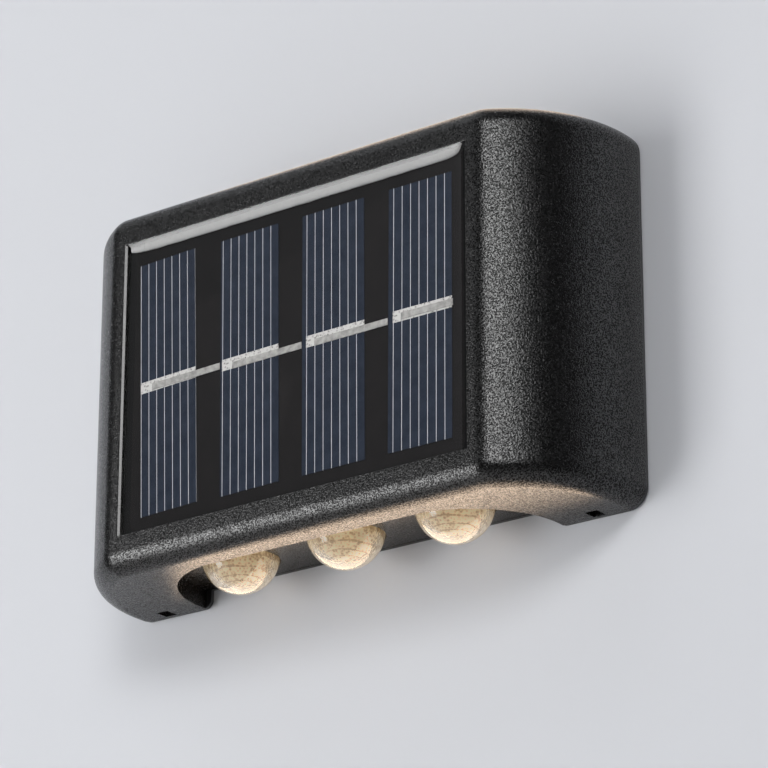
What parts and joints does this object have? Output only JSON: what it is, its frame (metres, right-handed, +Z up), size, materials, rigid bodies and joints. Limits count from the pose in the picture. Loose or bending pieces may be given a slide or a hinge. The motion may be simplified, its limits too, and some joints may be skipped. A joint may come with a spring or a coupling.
{
  "type": "outdoor wall light",
  "caption": "Rounded black up-and-down wall light with a solar panel on its front, clear domed lenses above and below, and a keyholed back plate.",
  "frame": {"origin": "middle of the back plate's rear face, which lies flat on the wall", "axes": "+X to the right as seen from the room, +Y into the wall, +Z up"},
  "size_m": [0.1194, 0.0288, 0.079],
  "materials": {
    "front_housing": "fine sand texture",
    "back_plate": "satin",
    "plate_seal": "soft",
    "plate_screws": "plated",
    "panel_glue": "soft",
    "solar_panel_board": "solder mask",
    "solar_cell": "silicon with printed fingers",
    "cell_ribbons": "tinned",
    "panel_resin": "clear resin",
    "lens": "clear",
    "light_board": "white solder mask",
    "light_chips": "phosphor",
    "small_screws": "plated",
    "main_circuit_board": "green solder mask",
    "control_chip": "moulded",
    "choke_coil": "ferrite",
    "capacitor": "sleeved can",
    "switch_body": "moulded",
    "switch_seal": "soft",
    "switch_button": "moulded",
    "switch_dome": "soft",
    "battery_cell": "shrink sleeve",
    "battery_holder": "moulded",
    "holder_tape": "foam",
    "contacts": "nickel plated",
    "wires": "smooth insulation"
  },
  "bodies": {
    "lamp": {"front_housing": "front_housing", "back_plate": "back_plate", "plate_seal": "plate_seal", "plate_screws": "plate_screws", "panel_glue": "panel_glue", "solar_panel_board": "solar_panel_board", "solar_cell_1": "solar_cell", "solar_cell_2": "solar_cell", "solar_cell_3": "solar_cell", "solar_cell_4": "solar_cell", "cell_ribbons": "cell_ribbons", "panel_resin": "panel_resin", "lens_top_left": "lens", "lens_top_middle": "lens", "lens_top_right": "lens", "lens_bottom_left": "lens", "lens_bottom_middle": "lens", "lens_bottom_right": "lens", "light_board_top": "light_board", "light_board_bottom": "light_board", "light_chips_top": "light_chips", "light_chips_bottom": "light_chips", "light_board_screws": "small_screws", "main_circuit_board": "main_circuit_board", "main_board_screws": "small_screws", "control_chip": "control_chip", "choke_coil": "choke_coil", "capacitor": "capacitor", "switch_body": "switch_body", "switch_seal": "switch_seal", "switch_dome": "switch_dome", "battery_cell": "battery_cell", "battery_holder": "battery_holder", "holder_tape": "holder_tape", "battery_contact": "contacts", "battery_spring": "contacts", "panel_wires": "wires", "light_wires_top": "wires", "light_wires_bottom": "wires", "battery_wires": "wires"},
    "button": {"switch_button": "switch_button"}
  },
  "joints": [
    {"name": "switch_press", "type": "slide", "parent": "lamp", "child": "button", "axis": [0, -1, 0], "range_m": [0, 0.0015], "stiffness_N_per_m": 1000, "springref_m": -0.0005, "deforming": ["switch_dome"]}
  ]
}
